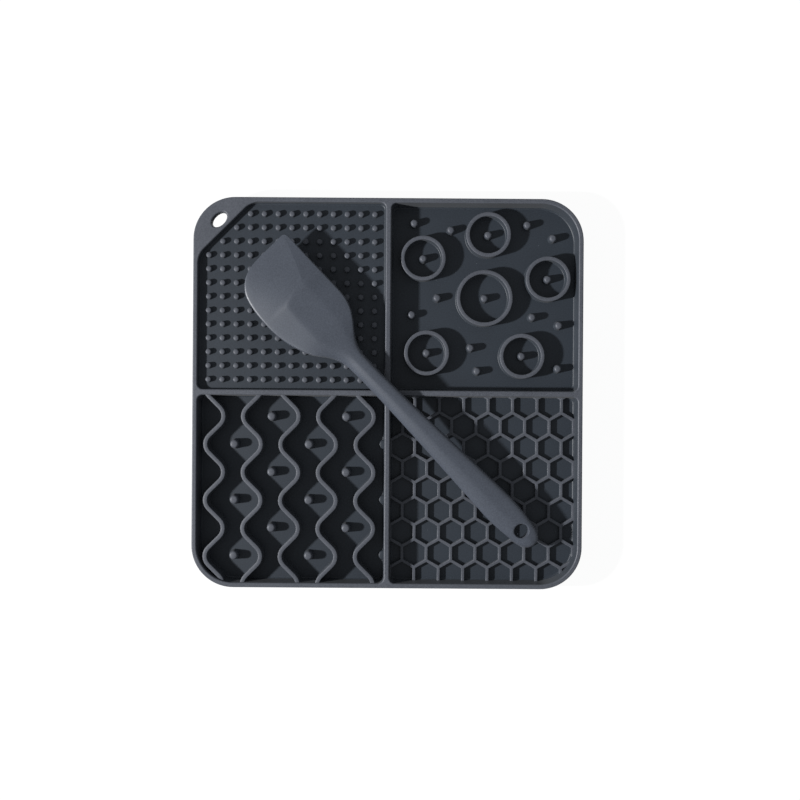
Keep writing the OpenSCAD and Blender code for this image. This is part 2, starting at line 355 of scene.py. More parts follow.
@dataclass
class Painter:
    """Adds shader nodes to one node tree."""

    tree: bpy.types.NodeTree

    def feed(self, node: bpy.types.Node, inputs: Inputs) -> bpy.types.NodeOutputs:
        """Fills a node's inputs, with a link where the value is another node's output.

        Args:
            node: The node to fill.
            inputs: Values and outputs, by the names or numbers of the inputs.

        Returns:
            The node's outputs.
        """
        for key, value in inputs.items():
            if isinstance(value, bpy.types.NodeSocket):
                self.tree.links.new(value, node.inputs[key])
            else:
                node.inputs[key].default_value = value
        return node.outputs

    def add(self, kind: str, inputs: Inputs, **settings: str) -> bpy.types.NodeOutputs:
        """Adds a node.

        Args:
            kind: The node's type.
            inputs: What fills its inputs.
            settings: Its own properties.

        Returns:
            The new node's outputs.
        """
        node = self.tree.nodes.new(kind)
        for key, value in settings.items():
            setattr(node, key, value)
        return self.feed(node, inputs)

    def noise(self, size: float, detail: float = 2.0) -> bpy.types.NodeSocket:
        """Adds noise in the object's own frame.

        Args:
            size: The size of its grains.
            detail: How fine it is within them.

        Returns:
            The noise's strength.
        """
        place = self.add("ShaderNodeTexCoord", {})["Object"]
        grain = {"Vector": place, "Scale": 1 / size, "Detail": detail}
        return self.add("ShaderNodeTexNoise", grain)["Fac"]

    def remap(
        self, value: bpy.types.NodeSocket, start: Spot, to: Spot = (0, 1)
    ) -> bpy.types.NodeSocket:
        """Maps a value from one range to another, and keeps it inside.

        Args:
            value: The output to map.
            start: The range that it is read in.
            to: The range of the result.

        Returns:
            The mapped output.
        """
        ends = zip(("From Min", "From Max", "To Min", "To Max"), (*start, *to))
        return self.add("ShaderNodeMapRange", {"Value": value, **dict(ends)})["Result"]

    def blend(
        self, share: bpy.types.NodeSocket, first: Colour, second: Colour, way: str = "MIX"
    ) -> bpy.types.NodeSocket:
        """Blends two colours.

        Args:
            share: The output that gives the second colour's share.
            first: A colour, or the output that gives it.
            second: Another colour, or its output.
            way: How the second is laid over the first.

        Returns:
            The blended output.
        """
        pair = [(*c, 1) if isinstance(c, tuple) else c for c in (first, second)]
        inputs = {"Factor": share, "A": pair[0], "B": pair[1]}
        return self.add("ShaderNodeMix", inputs, data_type="RGBA", blend_type=way)["Result"]


@dataclass(frozen=True)
class Tone:
    """Colour and roughness of a silicone surface; MatteSilicone takes one for the painted lit tops
    and one for the painted shade lower down.
    """

    colour: Point
    roughness: float


@dataclass(frozen=True)
class MatteSilicone:
    """Moulded silicone rubber with painted shade: lighter at each piece's top and darker lower down
    in the pockets, and maybe smoother below.
    """

    name: str
    lit_top: Tone
    shaded_low: Tone
    # crest and fade place the painted shade: lit top tone above crest, darkening to the shaded low
    # tone over fade below it.
    crest: float = -1.0
    fade: float = 0.5 * MM
    mottled_colour: Point = (0.62, 0.63, 0.66)
    mottle_share: float = 0.9
    mottle_range: Spot = (0.35, 0.65)
    grain_share: float = 0.7
    dust_colour: Point = (0.2, 0.22, 0.25)
    roughness_spread: float = 0.12
    specular: float = 0.75
    grain: float = 0.7 * MM
    grain_depth: float = 0.035 * MM
    grain_strength: float = 0.6
    mottle: float = 22 * MM
    dust_spacing: float = 7 * MM
    dust_size: float = 0.024
    refraction: float = 1.41
    sheen: float = 0.08
    sheen_roughness: float = 0.6

    def make(self) -> bpy.types.Material:
        """Builds the material's nodes.

        Returns:
            The material.
        """
        material = bpy.data.materials.new(self.name)
        material.use_nodes = True
        paint = Painter(material.node_tree)
        mottle, grain = paint.noise(self.mottle, 5), paint.noise(self.grain)
        place = paint.add("ShaderNodeTexCoord", {})["Object"]
        spots = {"Vector": place, "Scale": 1 / self.dust_spacing}
        dust = paint.add("ShaderNodeTexVoronoi", spots)["Distance"]

        # Painted shade by height: lit top tone at the crest, the darker shaded low tone further
        # down.
        height = paint.add("ShaderNodeSeparateXYZ", {"Vector": place})["Z"]
        crest = paint.remap(height, (self.crest - self.fade, self.crest))
        tone = paint.blend(crest, self.shaded_low.colour, self.lit_top.colour)
        blotch = {"Factor": self.grain_share, "A": mottle, "B": grain}
        unevenness = paint.add("ShaderNodeMix", blotch)["Result"]
        amount = paint.remap(unevenness, self.mottle_range, (0, self.mottle_share))
        mottled = paint.blend(amount, tone, self.mottled_colour, "MULTIPLY")
        speck = paint.remap(dust, (self.dust_size, self.dust_size / 2))
        dusted = paint.blend(speck, mottled, self.dust_colour)

        gloss = paint.remap(crest, (0, 1), (self.shaded_low.roughness, self.lit_top.roughness))
        spread = {0: grain, 1: self.roughness_spread, 2: gloss}
        relief = {"Strength": self.grain_strength, "Distance": self.grain_depth, "Height": grain}
        surface = {
            "Base Color": dusted,
            "Roughness": paint.add("ShaderNodeMath", spread, operation="MULTIPLY_ADD")[0],
            "Normal": paint.add("ShaderNodeBump", relief)["Normal"],
            "IOR": self.refraction,
            "Specular IOR Level": self.specular,
            "Sheen Weight": self.sheen,
            "Sheen Roughness": self.sheen_roughness,
        }
        paint.feed(paint.tree.nodes["Principled BSDF"], surface)
        return material


@dataclass(frozen=True)
class MouldedNylon:
    """Hard black nylon of the spatula's core, which the silicone hides."""

    name: str = "core_nylon"
    colour: Point = (0.022, 0.023, 0.026)
    roughness: Spot = (0.35, 0.5)
    grain: float = 0.8 * MM

    def make(self) -> bpy.types.Material:
        """Builds the material's nodes.

        Returns:
            The material.
        """
        material = bpy.data.materials.new(self.name)
        material.use_nodes = True
        paint = Painter(material.node_tree)
        gloss = paint.remap(paint.noise(self.grain), (0, 1), self.roughness)
        surface = {"Base Color": (*self.colour, 1), "Roughness": gloss}
        paint.feed(paint.tree.nodes["Principled BSDF"], surface)
        return material


@dataclass
class Dresser:
    """Gives finished pieces their material and body, and hides the CAD nodes they replace."""

    finish: MatteSilicone
    slot: str
    body: str

    def dress(
        self, piece: bpy.types.Object, *nodes: str, crest: float = -1.0, fade: float = 0.5 * MM
    ) -> None:
        """Finishes a piece that stands for some CAD nodes.

        Args:
            piece: The finished object.
            nodes: The CAD nodes that it replaces.
            crest: The height above which the piece has the painted lit top tone.
            fade: The height below that over which painted shade darkens it to the shaded low tone.
        """
        name = f"{self.finish.name}_{piece.name}"
        finish = replace(self.finish, name=name, crest=crest, fade=fade)
        piece.data.materials.clear()
        piece.data.materials.append(finish.make())
        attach(piece, self.body)
        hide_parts(*nodes)
        count, replaced = len(piece.data.polygons), ", ".join(nodes)
        LOG.info("%s: %d faces, replaces %s", piece.name, count, replaced)


# Mat


@dataclass
class Tray:
    """The mat's one-piece body: floor, rim, dividers, raised floor and hanging tab."""

    side: float = 200 * MM
    top: float = 15 * MM
    underside: float = 2.4 * MM
    floor: float = 4.2 * MM
    raised_floor: float = 10.9 * MM
    corner_radius: float = 21.5 * MM
    rim: float = 2.4 * MM
    divider: float = 2.75 * MM
    panel_radius: float = 3 * MM
    draft: float = 0.055
    lip_round: float = 0.65 * MM
    floor_fillet: float = 0.8 * MM
    tab_bottom: float = 12 * MM
    tab_inner: float = 118.82 * MM
    tab_wall: float = 1.5 * MM
    tab_fillet: float = 4 * MM
    tab_turn: float = math.radians(135)
    hole_spot: Spot = (123.8 * MM, -1.1 * MM)
    hole_top: Spot = (6.5 * MM, 9.6 * MM)
    hole_foot: Spot = (4.8 * MM, 8.7 * MM)
    overrun: float = 1 * MM

    @property
    def inside(self) -> float:
        """Distance from the middle of the mat to the inner face of the rim."""
        return self.side / 2 - self.rim

    @property
    def panel_side(self) -> float:
        """Side of the square that one panel fills."""
        return self.inside - self.divider / 2

    @property
    def panel_middle(self) -> float:
        """Distance from the mat's middle to a panel's middle, along X and Y."""
        return (self.inside + self.divider / 2) / 2

    def spot(self, panel: Panel, across: float, away: float, height: float) -> Point:
        """Turns shares of a panel, counted from its inner corner, into a place.

        Args:
            panel: The panel.
            across: Share of the panel's side along X.
            away: Share of the panel's side along Y.
            height: The height of the place.

        Returns:
            The place in the mat's frame.
        """
        sx, sy = panel.value
        near, side = self.divider / 2, self.panel_side
        return (sx * (near + across * side), sy * (near + away * side), height)

    def panel_block(
        self, panel: Panel, bottom: float, high: float, grow: float = 0.0
    ) -> bpy.types.Object:
        """Models an upright block with the outline of a panel.

        Args:
            panel: The panel.
            bottom: The block's lowest height.
            high: The block's highest height.
            grow: How far the outline is moved outwards.

        Returns:
            The block, without draft.
        """
        sx, sy = panel.value
        middle = Vector((sx * self.panel_middle, sy * self.panel_middle, 0))
        half = Vector((1, 1, 0)) * (self.panel_side / 2 + grow)
        low, high_corner = middle - half, middle + half
        block = add_block("panel_block", (*low.xy, bottom), (*high_corner.xy, high))
        with editing(block):
            outer = middle + Vector((sx, sy, 0)) * half.x

            def is_outer(edge: bmesh.types.BMEdge) -> bool:
                """Says whether an edge is the block's upright edge at the mat's corner."""
                return is_upright(edge) and (edge.verts[0].co.xy - outer.xy).length < WELD

            round_edges(block, lambda e: is_upright(e) and not is_outer(e), self.panel_radius, 6)
            round_edges(block, is_outer, self.corner_radius - self.rim + grow, 18)
            if panel is Panel.SHORT_NUBS:
                self.cut_tab_corner(block, self.tab_inner + grow)
        return block

    def cut_tab_corner(self, block: bpy.types.Object, distance: float) -> None:
        """Cuts a block in edit mode across the tab corner and rounds both ends of the cut.

        Args:
            block: The block in edit mode.
            distance: The cut's distance from the middle of the mat.
        """
        diagonal = Vector((-1, 1, 0)).normalized()
        cut_away(diagonal * distance, diagonal)

        def is_end(edge: bmesh.types.BMEdge) -> bool:
            """Says whether an edge is one of the cut's upright ends."""
            near = abs(edge.verts[0].co.dot(diagonal) - distance) < NEAR
            return is_upright(edge) and near

        round_edges(block, is_end, self.tab_fillet, 8)

    def pocket(self, panel: Panel) -> bpy.types.Object:
        """Models the tool that cuts a panel's pocket, with drafted sides.

        Args:
            panel: The panel.

        Returns:
            The tool.
        """
        bottom = self.raised_floor if panel is Panel.SHORT_NUBS else self.floor
        high = self.top + self.overrun
        block = self.panel_block(panel, bottom, high)
        sx, sy = panel.value
        middle = (sx * self.panel_middle, sy * self.panel_middle, 0)
        with editing(block):
            for height in (bottom, high):
                share = 1 + 2 * self.draft * (height - self.top) / self.panel_side
                pick(block, Part.VERT, lambda v, z=height: abs(v.co.z - z) < WELD)
                bpy.ops.transform.resize(value=(share, share, 1), center_override=middle)
        return block

    def tab_undercut(self) -> bpy.types.Object:
        """Models the tool that frees the space under the tab."""
        start = self.tab_inner + self.tab_wall
        reach = self.side / 4
        low = (start, -reach, self.underside - self.overrun)
        tool = add_block("undercut", low, (start + reach, reach, self.tab_bottom))
        tool.rotation_euler.z = self.tab_turn
        return settle(tool, "undercut")

    def tab_hole(self) -> bpy.types.Object:
        """Models the oval tool that cuts the hanging hole."""
        bpy.ops.object.select_all(action="DESELECT")
        depth, middle = self.top - self.tab_bottom, (0, 0, (self.top + self.tab_bottom) / 2)
        bpy.ops.mesh.primitive_cylinder_add(vertices=48, radius=0.5, depth=depth, location=middle)
        tool = settle(bpy.context.active_object, "hole")
        with editing(tool):
            for way, size in ((1, self.hole_top), (-1, self.hole_foot)):
                level = self.top if way > 0 else self.tab_bottom
                pick(tool, Part.FACE, lambda f, w=way: w * f.normal.z > 0.9)
                bpy.ops.transform.resize(value=(*size, 1), center_override=(0, 0, level))
                past = (0, 0, way * self.overrun)
                bpy.ops.mesh.extrude_region_move(TRANSFORM_OT_translate={"value": past})
        tool.location = (*self.hole_spot, 0)
        tool = settle(tool, "hole")
        tool.rotation_euler.z = self.tab_turn
        return settle(tool, "hole")

    def model(self) -> bpy.types.Object:
        """Models the tray from one block.

        Returns:
            The finished tray.
        """
        half = self.side / 2
        tray = add_block("mat_tray", (-half, -half, self.underside), (half, half, self.top))
        with editing(tray):
            round_edges(tray, is_upright, self.corner_radius, 20)
        pockets = join([self.pocket(panel) for panel in Panel], "pockets")
        combine(tray, pockets, "DIFFERENCE")
        combine(tray, self.tab_undercut(), "DIFFERENCE")
        combine(tray, self.tab_hole(), "DIFFERENCE")
        with editing(tray):
            bpy.ops.mesh.remove_doubles(threshold=WELD)
            round_edges(tray, lambda e: is_sharp_at(e, self.top), self.lip_round)
            floors, below = (self.floor, self.raised_floor), (self.tab_bottom, self.underside)
            round_edges(tray, lambda e: is_sharp_at(e, *floors), self.floor_fillet)
            round_edges(tray, lambda e: is_sharp_at(e, *below), self.lip_round / 2, 2)
            weld()
        smooth(tray, weighted=True)
        return tray


@dataclass
class Nub:
    """An upright nub with a wide foot and a round tip."""

    height: float
    foot: float
    tip: float
    crown: float
    sides: int = 16
    steps: int = 3
    root: float = 0.4 * MM
    flare: float = 0.25 * MM

    def model(self) -> bpy.types.Object:
        """Models one nub standing at the origin.

        Returns:
            The nub.
        """
        bpy.ops.object.select_all(action="DESELECT")
        bpy.ops.mesh.primitive_cylinder_add(
            vertices=self.sides,
            radius=self.tip / 2,
            depth=self.height + self.root,
            location=(0, 0, (self.height - self.root) / 2),
        )
        nub = settle(bpy.context.active_object, "nub")
        with editing(nub):
            bpy.ops.mesh.bisect(plane_co=(0, 0, 2 * self.flare), plane_no=(0, 0, 1), threshold=WELD)
            foot, spread = self.foot, 2 * self.flare
            for height, width in ((spread, foot), (-self.root, foot + spread)):
                share = width / self.tip
                pick(nub, Part.VERT, lambda v, z=height: abs(v.co.z - z) < WELD)
                bpy.ops.transform.resize(value=(share, share, 1), center_override=(0, 0, 0))
            round_edges(nub, lambda e: is_sharp_at(e, self.height), self.crown, self.steps)
        smooth(nub)
        return nub


@dataclass
class ShortNubPanel:
    """Raised panel with a square grid of short nubs."""

    tray: Tray
    nub: Nub = field(
        default_factory=lambda: Nub(2.5 * MM, 3.2 * MM, 2.9 * MM, 0.5 * MM, sides=12, steps=2)
    )
    pitch: float = 7.1 * MM
    shift: Spot = (-0.15 * MM, -0.35 * MM)
    corner_gap: float = 3.6 * MM

    def spots(self) -> list[Point]:
        """Lists the places of the nubs, without those that the tab corner cuts off."""
        count = int((self.tray.panel_side - self.pitch) / self.pitch) + 1
        first = -self.pitch * (count - 1) / 2
        middle = self.tray.panel_middle
        limit = self.tray.tab_inner * math.sqrt(2) - self.corner_gap
        grid = [first + self.pitch * i for i in range(count)]
        return [
            (x - middle + self.shift[0], y + middle + self.shift[1], self.tray.raised_floor)
            for x in grid
            for y in grid
            if (y + middle) - (x - middle) < limit
        ]

    def model(self) -> bpy.types.Object:
        """Models all the short nubs."""
        return repeat(self.nub.model(), self.spots(), "short_nub_field")


@dataclass
class RingPanel:
    """Panel with five small ring cups, one large one, and a nub in each and around them."""

    tray: Tray
    ring_width: float = 23.2 * MM
    large_ring_width: float = 29 * MM
    wall: float = 1.95 * MM
    draft: float = 0.05 * MM
    height: float = 6.8 * MM
    crown: float = 0.25 * MM
    fillet: float = 0.4 * MM
    root: float = 0.4 * MM
    nub: Nub = field(default_factory=lambda: Nub(5 * MM, 4.5 * MM, 3.4 * MM, 0.8 * MM))
    small_rings: tuple[Spot, ...] = (
        (0.172, 0.711), (0.521, 0.840), (0.842, 0.604), (0.193, 0.203), (0.705, 0.189),
    )
    large_rings: tuple[Spot, ...] = ((0.502, 0.499),)
    free_nubs: tuple[Spot, ...] = (
        (0.123, 0.902), (0.320, 0.866), (0.732, 0.896), (0.870, 0.825), (0.248, 0.500),
        (0.112, 0.409), (0.760, 0.399), (0.904, 0.356), (0.429, 0.232), (0.465, 0.107),
        (0.900, 0.123),
    )

    def spots(self, shares: Sequence[Spot]) -> list[Point]:
        """Turns shares of the panel into places on its floor."""
        return [self.tray.spot(Panel.RINGS, *share, self.tray.floor) for share in shares]

    def ring(self, width: float, steps: int) -> bpy.types.Object:
        """Models one ring wall with drafted sides and a round top.

        Args:
            width: The ring's outer diameter at its top.
            steps: The number of steps around it.

        Returns:
            The ring, standing at the origin.
        """
        out, into = width / 2, width / 2 - self.wall
        crown, fillet = self.crown, self.fillet
        shoulder = self.height - 0.3 * crown
        bends = [math.radians(30 * i) for i in range(4)]
        sweep = [(fillet * math.cos(a), fillet - fillet * math.sin(a)) for a in bends]
        inner, outer = into - self.draft - fillet, out + self.draft + fillet
        profile = [
            (inner, -self.root),
            *((inner + run, rise) for run, rise in reversed(sweep)),
            (into, self.height - crown),
            (into + 0.3 * crown, shoulder),
            (into + crown, self.height),
            (out - crown, self.height),
            (out - 0.3 * crown, shoulder),
            (out, self.height - crown),
            *((outer - run, rise) for run, rise in sweep),
            (outer, -self.root),
        ]
        ring = spin_profile("ring", profile, steps)
        smooth(ring)
        return ring

    def model_small(self) -> bpy.types.Object:
        """Models the five small rings."""
        ring = self.ring(self.ring_width, 64)
        return repeat(ring, self.spots(self.small_rings), "small_ring_walls")

    def model_large(self) -> bpy.types.Object:
        """Models the large ring."""
        ring = self.ring(self.large_ring_width, 80)
        return repeat(ring, self.spots(self.large_rings), "large_ring_wall")

    def model_nubs(self) -> bpy.types.Object:
        """Models the nubs inside and around the rings."""
        shares = self.small_rings + self.large_rings + self.free_nubs
        return repeat(self.nub.model(), self.spots(shares), "ring_panel_nub_set")


@dataclass
class WavePanel:
    """Panel with five wavy ribs and the nubs between them."""

    tray: Tray
    pitch: float = 19.3 * MM
    margin: float = 8.8 * MM
    wall: float = 2.15 * MM
    foot: float = 2.4 * MM
    crown: float = 0.28 * MM
    height: float = 9.3 * MM
    root: float = 0.4 * MM
    wave: float = 28.8 * MM
    reach: float = 4.65 * MM
    bend_radius: float = 6.2 * MM
    first_bend: float = 0.114
    ribs: int = 5
    bends: int = 8
    bury: float = 0.6 * MM
    nub: Nub = field(default_factory=lambda: Nub(6 * MM, 5.3 * MM, 4.2 * MM, 0.9 * MM))
    low_nub: Nub = field(default_factory=lambda: Nub(1.3 * MM, 5.0 * MM, 4.4 * MM, 0.5 * MM))

    def bend_y(self, number: int) -> float:
        """Gives the place along Y of a rib's bend of a number."""
        start = self.tray.divider / 2 + self.first_bend * self.tray.panel_side
        return -start + self.wave / 2 * (1 - number)

    def rib_x(self, number: int) -> float:
        """Gives the middle line along X of a rib of a number."""
        return self.margin - self.tray.inside + number * self.pitch

    def profile(self) -> bpy.types.Object:
        """Models the rib's cross-section as one upright face at the origin, across X."""
        bpy.ops.object.select_all(action="DESELECT")
        bpy.ops.mesh.primitive_plane_add(
            size=1, location=(0, 0, (self.height - self.root) / 2), rotation=(math.pi / 2, 0, 0)
        )
        bpy.context.active_object.scale = (self.wall, self.height + self.root, 1)
        face = settle(bpy.context.active_object, "rib")
        with editing(face):
            pick(face, Part.VERT, lambda v: v.co.z > 0)
            bpy.ops.mesh.bevel(
                offset=self.crown, segments=2, affect="VERTICES", clamp_overlap=False
            )
            pick(face, Part.VERT, lambda v: v.co.z < 0)
            share = self.foot / self.wall
            bpy.ops.transform.resize(value=(share, 1, 1), center_override=(0, 0, 0))
        return face

    def rib(self, first_side: int) -> bpy.types.Object:
        """Sweeps the cross-section along straight flanks and quarter bends.

        Args:
            first_side: The side along X that the rib's first bend reaches to.

        Returns:
            One rib about its own middle line, cut off inside the divider and the rim.
        """
        rib = self.profile()
        turn = math.pi / 4
        out = self.reach - self.bend_radius
        with editing(rib):
            start = (first_side * (out + self.bend_radius), self.bend_y(0), 0)
            bpy.ops.transform.translate(value=start)
            side = first_side
            centre = (side * out, self.bend_y(0), 0)
            bpy.ops.mesh.spin(steps=3, angle=side * turn, center=centre, axis=(0, 0, 1))
            for number in range(1, self.bends):
                flank_from = Vector(centre) + Vector((side, -1, 0)).normalized() * self.bend_radius
                side = -side
                centre = (side * out, self.bend_y(number), 0)
                flank_to = Vector(centre) + Vector((side, 1, 0)).normalized() * self.bend_radius
                flank = flank_to - flank_from
                bpy.ops.mesh.extrude_region_move(TRANSFORM_OT_translate={"value": flank})
                bpy.ops.mesh.spin(steps=6, angle=side * 2 * turn, center=centre, axis=(0, 0, 1))
            cut_away((0, -self.tray.divider / 2 + self.bury, 0), (0, 1, 0))
            cut_away((0, -self.tray.inside - self.bury, 0), (0, -1, 0))
            weld()
        smooth(rib)
        return rib

    def model_ribs(self) -> bpy.types.Object:
        """Models the five ribs, whose first bends reach left and right in turn."""
        sets = []
        for parity, first_side in ((0, -1), (1, 1)):
            spots = [(self.rib_x(i), 0, self.tray.floor) for i in range(parity, self.ribs, 2)]
            sets.append(repeat(self.rib(first_side), spots, "rib_set"))
        return join(sets, "wave_rib_walls")

    def model_nubs(self) -> bpy.types.Object:
        """Models a nub in each wide bay between two ribs, and low ones against the divider."""
        sets = []
        for nub, numbers in ((self.nub, range(self.ribs - 1)), (self.low_nub, (self.ribs - 1,))):
            spots = [
                (self.rib_x(rib) + self.pitch / 2, self.bend_y(bend), self.tray.floor)
                for rib in numbers
                for bend in range(1, self.bends)
                if (rib + bend) % 2 == 0 and self.bend_y(bend) > nub.foot - self.tray.inside
            ]
            sets.append(repeat(nub.model(), spots, "nub_set"))
        nubs = join(sets, "wave_panel_nub_set")
        with editing(nubs):
            cut_away((-self.tray.divider / 2 + self.bury, 0, 0), (1, 0, 0))
        return nubs


@dataclass
class HoneycombPanel:
    """Panel with low walls around six-sided cells."""

    tray: Tray
    pitch: float = 12.7 * MM
    wall: float = 1.65 * MM
    height: float = 2.4 * MM
    root: float = 0.4 * MM
    crown: float = 0.35 * MM
    first_cell: Spot = (0.0676, 0.0484)
    bury: float = 0.6 * MM

    def cell_spots(self) -> list[Point]:
        """Lists the middles of the cells that touch the panel."""
        row_step = self.pitch * math.sqrt(3) / 2
        top = self.tray.floor + self.height
        first_x, first_y, _ = self.tray.spot(Panel.HONEYCOMB, *self.first_cell, top)
        count = int(self.tray.panel_side / row_step) + 1
        return [
            (first_x + (column + (row % 2) / 2) * self.pitch, first_y - row * row_step, top)
            for row in range(-1, count + 1)
            for column in range(-1, count + 1)
        ]

    def model(self) -> bpy.types.Object:
        """Models the walls from one flat cell, copied, inset and drawn down.

        Returns:
            The walls, cut off inside the rim and the dividers.
        """
        bpy.ops.object.select_all(action="DESELECT")
        radius = self.pitch / math.sqrt(3)
        bpy.ops.mesh.primitive_circle_add(vertices=6, radius=radius, fill_type="NGON")
        cell = settle(bpy.context.active_object, "cell")
        walls = repeat(cell, self.cell_spots(), "honeycomb_cell_walls")
        with editing(walls):
            weld()
            bpy.ops.mesh.select_all(action="SELECT")
            bpy.ops.mesh.inset(use_individual=True, thickness=self.wall / 2)
            pick(walls, Part.FACE, lambda f: len(f.verts) == 6)
            bpy.ops.mesh.delete(type="FACE")
        apply_modifier(walls, "SOLIDIFY", thickness=self.height + self.root, offset=-1)
        with editing(walls):
            top = self.tray.floor + self.height
            round_edges(walls, lambda e: is_sharp_at(e, top), self.crown)
            weld()
        low, high = self.tray.floor - 2 * self.root, self.tray.top
        combine(walls, self.tray.panel_block(Panel.HONEYCOMB, low, high, self.bury), "INTERSECT")
        smooth(walls, weighted=True)
        return walls


@dataclass
class SuctionCups:
    """Grid of suction cups under the floor."""

    tray: Tray
    pitch: float = 31 * MM
    count: int = 6
    lip: float = 22 * MM
    neck: float = 12 * MM
    lip_edge: float = 0.5 * MM
    hollow: float = 1.4 * MM
    root: float = 0.4 * MM

    def model(self) -> bpy.types.Object:
        """Models the cups from one turned profile.

        Returns:
            All the cups.
        """
        height, edge = self.tray.underside, self.lip_edge
        lip, neck = self.lip / 2, self.neck / 2
        profile = [
            (0, height + self.root),
            (neck, height + self.root),
            (neck, height - 0.2 * MM),
            (neck + 0.35 * MM, height - 0.6 * MM),
            (0.65 * lip + 0.35 * neck, 0.35 * height + 0.65 * edge),
            (lip - 0.2 * MM, edge),
            (lip, 0.6 * edge),
            (lip - 0.05 * MM, 0),
            (lip - edge, 0),
            (0.7 * lip, 0.42 * self.hollow),
            (0.45 * lip, 0.85 * self.hollow),
            (0, self.hollow),
        ]
        cup = spin_profile("cup", profile, 32)
        smooth(cup)
        middle = (self.count - 1) / 2
        steps = [(i - middle) * self.pitch for i in range(self.count)]
        return repeat(cup, [(x, y, 0) for x in steps for y in steps], "suction_cup_grid")


# Spatula


@dataclass
class Spatula:
    """One-piece silicone spatula, modelled along +X from its neck with its left side towards +Y.

    The blade's upper face is a hip roof: a slope up from the left and front edges, a steeper one
    up from the right edge, and a flat-topped spine that runs out of the handle between them.
    The tables, and the sizes without MM, are in millimetres, and the angles in degrees.
    """

    neck: Point = (-16.5 * MM, 16.6 * MM, 20.303 * MM)
    turn: float = 134.6
    tilt: float = 2.7
    blade_length: float = 70.7 * MM
    rise: float = 0.1 * MM
    edge_thickness: float = 1.3
    neck_height: float = 3.7
    left_flatness: float = 1.55
    right_flatness: float = 4.0
    crest_share: float = 0.04
    tongue_end: float = 44.0
    front_height: float = 0.25
    blending: float = 0.8
    hole_x: float = -121.5 * MM
    hole_radius: float = 3.68 * MM
    hole_round: float = 0.67 * MM
    points: int = 24
    edge_inset: float = 0.25
    edge_slant: float = 0.2
    left_shares: tuple[float, ...] = (0.12, 0.37, 0.68)
    right_shares: tuple[float, ...] = (0.33, 0.6, 0.86)
    blend_start: float = 1.0
    blend_run: float = 15.0
    ridge_lines: tuple[int, ...] = (5, 7)
    rim_lines: tuple[int, ...] = (1, 11)
    ridge_crease: float = 0.75
    rim_crease: float = 0.45
    first_crease: int = 5
    left_edge: tuple[Spot, ...] = (
        (0, 5.1), (4, 5.95), (8, 7.75), (12, 10.6), (16, 13.85), (20, 15.9), (24, 17.3),
        (28, 18.5), (32, 19.35), (36, 19.95), (40, 20.2), (48, 19.9), (52, 19.5), (56, 18.8),
        (60, 17.7), (63.1, 16.3), (65.6, 14.2), (67.9, 11.2), (69.6, 7.7), (70.4, 3.5),
        (70.7, -1),
    )
    right_edge: tuple[Spot, ...] = (
        (0, -5.3), (4, -6.1), (8, -8), (12, -11.2), (16, -14.4), (20, -16.9), (24, -18.5),
        (28, -19.2), (32, -19.4), (60, -19.4), (68, -19.5), (69.2, -19.2), (70.4, -18.4),
        (70.7, -17.6),
    )
    spine_left: tuple[Spot, ...] = (
        (0, 2.4), (8, 3.4), (13, 4.8), (18, 6.3), (32, 6.3), (40, 5.9), (43.5, 5.3), (45, 1.5),
        (46.5, -4.5), (48.2, -8.5), (52.9, -11), (57.6, -12.8), (64.1, -15.5), (69.6, -17.2),
        (70.7, -16.9),
    )
    spine_right: tuple[Spot, ...] = (
        (0, -2.6), (8, -3.4), (13, -5.6), (18, -8.3), (27.6, -7.9), (36, -8.5), (45, -9),
        (46.5, -8.4), (48.2, -9.2), (52.9, -11.6), (57.6, -13.4), (64.1, -16), (69.6, -17.7),
        (70.7, -17.3),
    )
    spine_height: tuple[Spot, ...] = ((0, 3.7), (12, 3.7), (20, 3.75), (30, 3.6), (44, 3.4))
    left_height: tuple[Spot, ...] = (
        (0, 2.8), (10, 2.9), (16, 2.8), (20, 2.5), (24, 2.05), (28, 1.6), (34, 1.2), (44, 0.9),
        (56, 0.4), (62, 0.3), (70.7, 0.25),
    )
    right_height: tuple[Spot, ...] = (
        (0, 2.8), (10, 2.9), (16, 2.8), (24, 2.5), (34, 2.3), (44, 2.0), (50, 1.6), (60, 0.95),
        (66, 0.55), (70.7, 0.25),
    )
    handle_half_width: tuple[Spot, ...] = (
        (-131.6, 0.9), (-131.3, 2.3), (-130.6, 3.5), (-129.3, 4.7), (-127.5, 5.65), (-125.8, 6.2),
        (-123.3, 6.7), (-120, 7.15), (-115.8, 7.65), (-111, 8.05), (-106, 8.2), (-101, 8.15),
        (-94.5, 7.8), (-75, 7), (-54.4, 6.1), (-35, 5.35), (-23.3, 5.05), (-10.4, 4.9), (0, 5.1),
    )
    handle_height: tuple[Spot, ...] = (
        (-131.6, 1.1), (-131.3, 1.7), (-130.6, 2.3), (-129.3, 2.8), (-127.5, 3.1), (-124, 3.4),
        (-120, 3.5), (-108, 3.45), (-100, 3.45), (-60, 3.6), (0, 3.7),
    )
    blade_stations: tuple[float, ...] = (
        *(2, 4, 6, 8, 10, 12, 14, 16, 18, 20, 24, 28, 32, 36, 40, 42, 43.5, 45, 46.5, 48.2),
        *(50.5, 52.9, 55.2, 57.6, 60, 62, 64.1, 66, 67.9, 69.2, 70, 70.45, 70.7),
    )
    handle_stations: tuple[float, ...] = (
        *(-131.6, -131.3, -130.6, -129.3, -127.5, -125.8, -123.3, -120, -115.8, -111, -106),
        *(-101, -94.5, -86, -78, -70, -62, -54.4, -47, -40, -34, -28, -22, -16, -10.4, -5, 0),
    )

